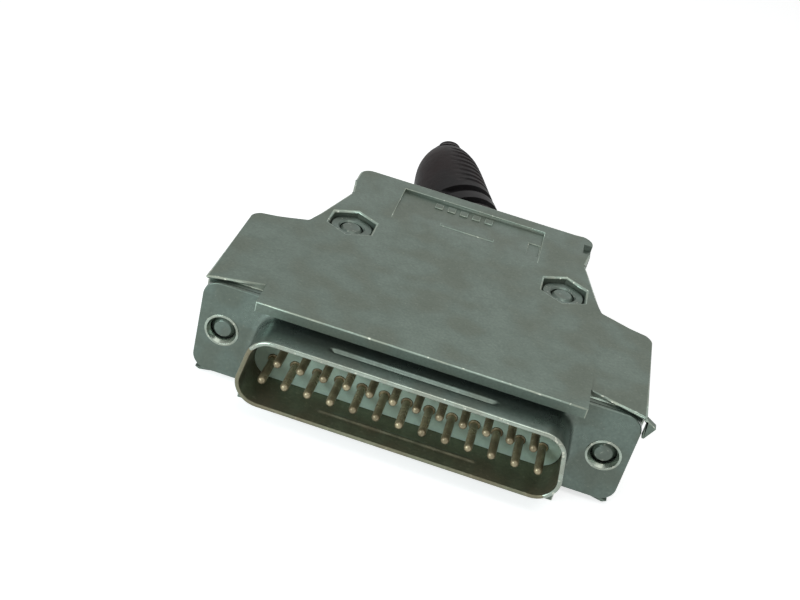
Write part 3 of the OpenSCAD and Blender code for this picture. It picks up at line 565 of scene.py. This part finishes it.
# Closed profile of a tube with both ends rolled over, turned about the hole's axis
def buildEyelet(side):
    k = eyeletSettings
    profile = roundedLine([(k["bore"], k["mouthDeep"], 0.3), (k["mouth"], k["front"], 0.08),
                           (k["rim"], k["front"] * 0.4, 0.05), (k["rim"], 0.02, 0),
                           (k["tube"], 0.02, 0), (k["tube"], k["flange"], 0),
                           (k["rim"], k["flange"], 0), (k["rim"], k["back"], 0.1),
                           (k["bore"], k["back"], 0.1)], 5, closed=True)
    points = turnedAlongY(middleMm("eyelet_" + side), profile, k["sides"])
    mesh = closedMesh("rolledEyelet_" + side, [(points, True, True)])
    addPiece(mesh, "hood", ["eyelet_" + side], [brightSteelAndPaintedHighlight], 40)


for side in ("left", "right"):
    buildEyelet(side)


contactSettings = {"radius": 0.51, "shoulder": 0.69, "shoulderAt": -0.42, "split": 2.9,
                   "collar": 1.1, "collarEnd": 3.4, "barrel": 0.85, "cup": 0.575,
                   "cupDeep": 2.8, "cupOpen": 1.7, "sides": 32}


# Round-nosed pin with a shoulder, a collar and a barrel, turned about its axis; the barrel's end
# is hollow and slopes away on its upper side, by the sine of the angle, into a solder cup
def buildContact(number):
    k = contactSettings
    node = "pin_%02d" % number
    low, high = boxMm(node)
    tip = low[1]
    end = high[1]
    nose = np.radians(np.linspace(0, 90, 9))
    noseLine = np.stack([k["radius"] * np.sin(nose), tip + k["radius"] * (1 - np.cos(nose))], axis=1)
    bodyLine = roundedLine([(k["radius"], tip + k["radius"], 0), (k["radius"], k["shoulderAt"], 0),
                            (k["shoulder"], k["shoulderAt"], 0.04), (k["shoulder"], k["split"], 0),
                            (k["collar"], k["split"], 0.06), (k["collar"], k["collarEnd"], 0.06),
                            (k["barrel"], k["collarEnd"], 0), (k["barrel"], end - 2 * k["cupOpen"], 0),
                            (k["barrel"], end, 0), (k["cup"], end, 0),
                            (k["cup"], end - k["cupDeep"], 0), (0, end - k["cupDeep"], 0)], 3)
    profile = np.concatenate([noseLine, finer(bodyLine, 0.6)])

    def slopedCup(radius, station, angles):
        rise = np.clip(np.sin(angles), 0, 1)
        near = np.clip((station - (end - 2 * k["cupOpen"])) / (2 * k["cupOpen"]), 0, 1)
        wall = radius > 0.01
        return radius, station - near * k["cupOpen"] * np.sqrt(rise) * wall * (station > end - 2.4)

    points = turnedAlongY((low + high) / 2, profile, k["sides"], slopedCup)
    mesh = closedMesh("contact_%02d" % number, [(points, False, True)])
    addPiece(mesh, "hood", [node], [contactGold], 50)


for number in range(1, 26):
    buildContact(number)
print("eyelets and contacts made")


# A thread is a ridge that climbs by one pitch a turn: the radius falls by the depth times a
# rounded saw-tooth of station over pitch less the angle, and fades out at both ends
def threaded(low, high, pitch, depth, nominal):
    def detail(radius, station, angles):
        turn = station / pitch - angles / (2 * math.pi)
        wave = np.abs((turn % 1) * 2 - 1)
        wave = wave * wave * (3 - 2 * wave)
        fade = np.clip(np.minimum(station - low, high - station) / (pitch * 0.6), 0, 1)
        on = (np.abs(radius - nominal) < 0.01) * fade
        return radius - depth * wave * on, station
    return detail


# Takes a box out of a closed mesh, as a saw takes a slot out of a screw's head
def cutSlot(mesh, low, high):
    corners = np.array([[x, y, z] for x in (low[0], high[0]) for y in (low[1], high[1])
                        for z in (low[2], high[2])]) * mm
    sides = [(0, 1, 3, 2), (4, 6, 7, 5), (0, 4, 5, 1), (2, 3, 7, 6), (0, 2, 6, 4), (1, 5, 7, 3)]
    sawMesh = bpy.data.meshes.new("saw")
    sawMesh.from_pydata(corners.tolist(), [], sides)
    saw = bpy.data.objects.new("saw", sawMesh)
    blank = bpy.data.objects.new("blank", mesh)
    for made in (saw, blank):
        bpy.context.scene.collection.objects.link(made)
    cut = blank.modifiers.new("cut", "BOOLEAN")
    cut.operation = "DIFFERENCE"
    cut.solver = "EXACT"
    cut.object = saw
    ready = blank.evaluated_get(bpy.context.evaluated_depsgraph_get())
    result = bpy.data.meshes.new_from_object(ready)
    result.name = mesh.name + "Cut"
    bpy.data.objects.remove(saw)
    bpy.data.objects.remove(blank)
    return result


jackSettings = {"thread": 1.435, "threadEnd": 6.5, "pitch": 0.635, "threadDepth": 0.24,
                "shank": 1.1, "groove": 0.85, "grooveFrom": 10.61, "grooveTo": 11.31,
                "head": 2.05, "headFrom": 17.71, "knurls": 22, "knurlDepth": 0.09,
                "slotWide": 0.8, "slotDeep": 1.2, "sides": 88}


# Turned screw: threaded end, plain shank with the clip's groove, and a ribbed head with a slot
def buildJackscrew(side):
    k = jackSettings
    low, high = boxMm("jackscrew_" + side)
    start = low[1]
    end = high[1]
    line = roundedLine([(0, start, 0), (k["thread"] - 0.4, start, 0.08),
                        (k["thread"], start + 0.4, 0.05), (k["thread"], k["threadEnd"] - 0.3, 0),
                        (k["shank"], k["threadEnd"], 0), (k["shank"], k["grooveFrom"], 0),
                        (k["groove"], k["grooveFrom"], 0), (k["groove"], k["grooveTo"], 0),
                        (k["shank"], k["grooveTo"], 0), (k["shank"], k["headFrom"], 0),
                        (k["head"], k["headFrom"], 0.3), (k["head"], end, 0.32), (0, end, 0)], 5)
    threads = threaded(start + 0.4, k["threadEnd"] - 0.3, k["pitch"], k["threadDepth"], k["thread"])

    def detail(radius, station, angles):
        radius, station = threads(radius, station, angles)
        near = np.minimum(station - k["headFrom"] - 0.5, end - 1.0 - station) / 0.3
        ribs = (0.5 + 0.5 * np.cos(k["knurls"] * angles)) * np.clip(near, 0, 1)
        return radius - k["knurlDepth"] * ribs * (radius > k["head"] - 0.01), station

    centre = (low + high) / 2
    points = turnedAlongY(centre, finer(line, 0.085), k["sides"], detail)
    mesh = closedMesh("jackscrewTurned_" + side, [(points, False, True)])
    half = k["slotWide"] / 2
    mesh = cutSlot(mesh, (centre[0] - 3, end - k["slotDeep"], centre[2] - half),
                   (centre[0] + 3, end + 1, centre[2] + half))
    addPiece(mesh, side + "_jackscrew", ["jackscrew_" + side], [screwSteel], 40)


for side in ("left", "right"):
    buildJackscrew(side)

nutSettings = {"flat": 2.75, "bore": 1.56, "chamfer": 0.55, "sides": 120}


# Six-sided nut: the radius of a hexagon at each angle, cut by a cone at its upper face
def buildNut(side):
    k = nutSettings
    low, high = boxMm("hood_nut_" + side)
    bottom = low[2]
    top = high[2]
    line = np.array([[k["bore"], bottom], [k["bore"], top - 0.2], [k["bore"] + 0.2, top],
                     [k["flat"] - 0.1, top], [k["flat"] + 0.12, top - 0.16],
                     [k["flat"] + 0.45, top - k["chamfer"]], [k["flat"] + 0.45, bottom]])
    line = finer(line, 0.12)

    def hexagon(radius, station, angles):
        part = (angles + math.pi / 6) % (math.pi / 3) - math.pi / 6
        return np.minimum(radius, k["flat"] / np.cos(part)), station

    points = turnedAlongZ((low + high) / 2, line, k["sides"], hexagon)
    mesh = closedMesh("hoodNutHex_" + side, [(points, True, True)])
    addPiece(mesh, "hood", ["hood_nut_" + side], [screwSteel], 25)


hoodScrewSettings = {"head": 2.75, "headHigh": 2, "shank": 1.5, "pitch": 0.5, "threadDepth": 0.16,
                     "threadFrom": -2.5, "slotWide": 0.8, "slotDeep": 0.9, "sides": 64}


# Cheese-headed screw from below: slotted head, plain neck and a thread up into the nut
def buildHoodScrew(side):
    k = hoodScrewSettings
    low, high = boxMm("hood_screw_" + side)
    bottom = low[2]
    top = high[2]
    seat = bottom + k["headHigh"]
    line = roundedLine([(0, bottom, 0), (k["head"], bottom, 0.35), (k["head"], seat, 0.08),
                        (k["shank"], seat, 0.1), (k["shank"], top - 0.35, 0),
                        (k["shank"] - 0.35, top, 0.1), (0, top, 0)], 5)
    threads = threaded(k["threadFrom"], top - 0.2, k["pitch"], k["threadDepth"], k["shank"])
    centre = (low + high) / 2
    points = turnedAlongZ(centre, finer(line, 0.075), k["sides"], threads)
    mesh = closedMesh("hoodScrewTurned_" + side, [(points, False, True)])
    half = k["slotWide"] / 2
    mesh = cutSlot(mesh, (centre[0] - 4, centre[1] - half, bottom - 1),
                   (centre[0] + 4, centre[1] + half, bottom + k["slotDeep"]))
    addPiece(mesh, "hood", ["hood_screw_" + side], [screwSteel], 40)


for side in ("left", "right"):
    buildNut(side)
    buildHoodScrew(side)
print("screws and nuts made")


# The ribbed rubber boot
bootSettings = {"from": 39.05, "length": 21.66, "radius": 5.85, "tipRadius": 2.09, "power": 4.5,
                "noseFrom": 0.74, "noseLength": 0.355, "cable": 1.4, "tipWall": 0.32,
                "sleeve": 4.2, "sleeveFrom": 28, "collar": 5.3, "collarFrom": 35.35,
                "collarTo": 37.35, "passage": 2.6, "core": 2.0, "holeLength": 4, "sides": 120}


def bootWay(t):
    k = bootSettings
    ease = 1 - np.exp(-t * k["length"] / 2)
    lean = np.radians(39 * ease - 29.7 * t)
    lift = np.radians(3 * ease + 20.1 * t)
    return np.stack([-np.sin(lean) * np.cos(lift), np.cos(lean) * np.cos(lift), np.sin(lift)], axis=-1)


# The body's radius falls late, by a power of the distance, and closes with an elliptic nose
def bootBody(t):
    k = bootSettings
    e = np.clip((t - k["noseFrom"]) / k["noseLength"], 0, 1)
    return (k["radius"] + (k["tipRadius"] - k["radius"]) * t ** k["power"]) * np.sqrt(1 - e * e)


# Each groove is a flat-bottomed dip along the body; the deep slots and the fine ribs run round
# part of the body only, centred on an angle and fading out towards the ends of their arc
def bootGrooves(t, angles):
    dips = [(0.136, 0.078, 1.5, 40, 95), (0.292, 0.07, 1.1, 60, 80), (0.908, 0.05, 0.45, 0, 400)]
    dips += [(0.40 + 0.058 * i, 0.03, 0.22, 20, 85) for i in range(8)]
    total = np.zeros(np.broadcast(t, angles).shape)
    for at, wide, deep, centre, arc in dips:
        off = np.degrees(np.abs((angles - math.radians(centre) + math.pi) % (2 * math.pi) - math.pi))
        ease = np.clip((arc - off) / 25, 0, 1)
        dip = np.clip(1 - (np.abs(t - at) / (wide / 2)) ** 4, 0, 1)
        total = np.maximum(total, deep * dip * ease * ease * (3 - 2 * ease))
    return total


# The boot is one closed profile carried along a path: out along the sleeve and collar in the
# hood, along the ribbed body to the tip, round into the cable hole and back along the passage
def buildBoot():
    k = bootSettings
    steps = 330
    t = np.linspace(0, 1, steps + 1)
    middle = bootWay((t[:-1] + t[1:]) / 2) * k["length"] / steps
    path = np.concatenate([np.zeros((1, 3)), np.cumsum(middle, axis=0)]) + [0, k["from"], 0]
    angles = np.linspace(0, 2 * math.pi, k["sides"], endpoint=False)[None, :]
    outside = bootBody(t)[:, None] - bootGrooves(t[:, None], angles)
    outside = np.maximum(k["cable"] + k["tipWall"], outside)
    tip = path[-1]
    nose = bootWay(np.array(1.0))
    inner = tip - nose * k["holeLength"]

    def rings(centres, ways, radius):
        across = np.stack([ways[:, 1], -ways[:, 0], 0 * ways[:, 0]], axis=1)
        across /= np.linalg.norm(across, axis=1)[:, None]
        up = np.cross(across, ways)
        return (centres[:, None] + radius[..., None] * (np.cos(angles)[..., None] * across[:, None]
                                                        + np.sin(angles)[..., None] * up[:, None]))

    def straightRings(line):
        line = np.array(line, float)
        centres = np.stack([0 * line[:, 1], line[:, 1], 0 * line[:, 1]], axis=1)
        ways = np.repeat([[0.0, 1.0, 0.0]], len(line), axis=0)
        return rings(centres, ways, line[:, 0][:, None] + 0 * angles)

    inHood = straightRings(roundedLine([
        (k["passage"], k["sleeveFrom"], 0), (k["sleeve"], k["sleeveFrom"], 0.2),
        (k["sleeve"], k["collarFrom"], 0.1), (k["collar"], k["collarFrom"], 0.3),
        (k["collar"], k["collarTo"], 0.2), (k["sleeve"], k["collarTo"], 0.1),
        (k["sleeve"], k["from"] - 0.001, 0)], 4))
    bodyRings = rings(path, bootWay(t), outside)
    lip = rings(tip[None] + nose[None] * 0.0, nose[None], np.full((1, 1), k["cable"] + 0.02) + 0 * angles)
    hole = rings(np.stack([tip - nose * 0.1, inner]), np.stack([nose, nose]),
                 np.full((2, 1), k["cable"]) + 0 * angles)
    elbow = np.array([0, k["from"] + 2, 0])
    core = rings(np.stack([inner - nose * 0.3, elbow]), np.stack([nose, [0.0, 1.0, 0.0]]),
                 np.full((2, 1), k["core"]) + 0 * angles)
    passage = straightRings([(k["passage"], k["from"] + 1.6), (k["passage"], k["sleeveFrom"] + 0.01)])
    points = np.concatenate([inHood, bodyRings, lip, hole, core, passage])
    mesh = closedMesh("ribbedBoot", [(points, True, True)])
    addPiece(mesh, "hood", ["boot"], [bootRubber], 50)


buildBoot()
print("boot made")

for node, material in (("rear_shell", platedSteel), ("insulator_front", insulatorPlastic),
                       ("insulator_rear", insulatorPlastic), ("cable_clamp", platedSteel),
                       ("clamp_screw_left", screwSteel), ("clamp_screw_right", screwSteel),
                       ("jackscrew_clip_left", clipSteel), ("jackscrew_clip_right", clipSteel)):
    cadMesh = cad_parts[node].data
    cadMesh.materials.clear()
    cadMesh.materials.append(material)

# Floor, lights and camera
low, high = cadBox
floorMesh = bpy.data.meshes.new("floor")
reach = 3.0
floorMesh.from_pydata([(-reach, -reach, low[2]), (reach, -reach, low[2]),
                       (reach, reach, low[2]), (-reach, reach, low[2])], [], [(0, 1, 2, 3)])
floor = bpy.data.objects.new("floor", floorMesh)
bpy.context.scene.collection.objects.link(floor)

paper = bpy.data.materials.new("paper")
paper.use_nodes = True
paperNodes = paper.node_tree.nodes
paperShader = paperNodes["Principled BSDF"]
paperShader.inputs["Base Color"].default_value = (0.86, 0.86, 0.86, 1)
paperShader.inputs["Roughness"].default_value = 0.9
paperShader.inputs["Specular IOR Level"].default_value = 0.1
floorMesh.materials.append(paper)


# One where the camera, a reflection or a clear material looks straight at the background
def seenDirectly(tree):
    path = tree.nodes.new("ShaderNodeLightPath")
    total = path.outputs["Is Camera Ray"]
    for label in ("Is Glossy Ray", "Is Transmission Ray"):
        both = tree.nodes.new("ShaderNodeMath")
        both.operation = "MAXIMUM"
        tree.links.new(total, both.inputs[0])
        tree.links.new(path.outputs[label], both.inputs[1])
        total = both.outputs[0]
    return total


# The floor's own light brings open paper up to white and leaves a faint shadow under the plug
paperTree = paper.node_tree
lift = paperTree.nodes.new("ShaderNodeMath")
lift.operation = "MULTIPLY"
lift.inputs[1].default_value = 0.66
paperTree.links.new(seenDirectly(paperTree), lift.inputs[0])
paperGlow = paperTree.nodes.new("ShaderNodeEmission")
paperTree.links.new(lift.outputs[0], paperGlow.inputs["Strength"])
paperSum = paperTree.nodes.new("ShaderNodeAddShader")
paperTree.links.new(paperShader.outputs["BSDF"], paperSum.inputs[0])
paperTree.links.new(paperGlow.outputs["Emission"], paperSum.inputs[1])
paperTree.links.new(paperSum.outputs["Shader"], paperNodes["Material Output"].inputs["Surface"])

world = bpy.data.worlds.new("studio")
bpy.context.scene.world = world
world.use_nodes = True
worldNodes = world.node_tree.nodes
worldLink = world.node_tree.links.new
sky = worldNodes["Background"]
sky.inputs["Color"].default_value = (0.78, 0.8, 0.8, 1)
sky.inputs["Strength"].default_value = 0.3
white = worldNodes.new("ShaderNodeBackground")
white.inputs["Color"].default_value = (1, 1, 1, 1)
white.inputs["Strength"].default_value = 1
choose = worldNodes.new("ShaderNodeMixShader")
worldLink(seenDirectly(world.node_tree), choose.inputs["Fac"])
worldLink(sky.outputs["Background"], choose.inputs[1])
worldLink(white.outputs["Background"], choose.inputs[2])
worldLink(choose.outputs["Shader"], worldNodes["World Output"].inputs["Surface"])


def addSoftbox(name, place, aim, size, colour, power):
    light = bpy.data.lights.new(name, "AREA")
    light.color = colour
    light.shape = "RECTANGLE"
    light.size = size[0]
    light.size_y = size[1]
    light.energy = power
    lamp = bpy.data.objects.new(name, light)
    bpy.context.scene.collection.objects.link(lamp)
    lamp.location = place
    way = np.array(aim, float) - np.array(place, float)
    lamp.rotation_euler = (math.acos(-way[2] / np.linalg.norm(way)), 0,
                           math.atan2(way[1], way[0]) - math.pi / 2)
    return lamp


addSoftbox("topSoftbox", (0.06, -0.06, 0.34), (0.01, 0.005, 0), (0.24, 0.24), (1, 1, 1), 0.3)
addSoftbox("backSoftbox", (0.03, 0.2, 0.24), (0, 0.01, 0), (0.12, 0.12), (1, 1, 1), 0.04)
addSoftbox("frontSoftbox", (-0.11, -0.12, 0.06), (-0.01, 0, 0), (0.1, 0.08), (0.86, 0.97, 1), 0.17)

cameraSettings = {
    "place": (4.1486, -110.44, 80.6263), "look": (-0.063085, 0.846547, -0.528563),
    "right": (0.949811, 0.213525, 0.228619), "lens": 52.38}
lensData = bpy.data.cameras.new("camera")
lensData.lens = cameraSettings["lens"]
lensData.sensor_width = 36
lensData.clip_start = 0.005
lensData.clip_end = 20
camera = bpy.data.objects.new("camera", lensData)
bpy.context.scene.collection.objects.link(camera)
look = np.array(cameraSettings["look"])
right = np.array(cameraSettings["right"])
up = np.cross(right, look)
turned = np.eye(4)
turned[:3, 0] = right
turned[:3, 1] = up
turned[:3, 2] = -look
turned[:3, 3] = np.array(cameraSettings["place"]) * mm
camera.matrix_world = Matrix(turned.tolist())
bpy.context.scene.camera = camera
bpy.context.scene.view_settings.view_transform = "Standard"
print("stage, lights and camera set")
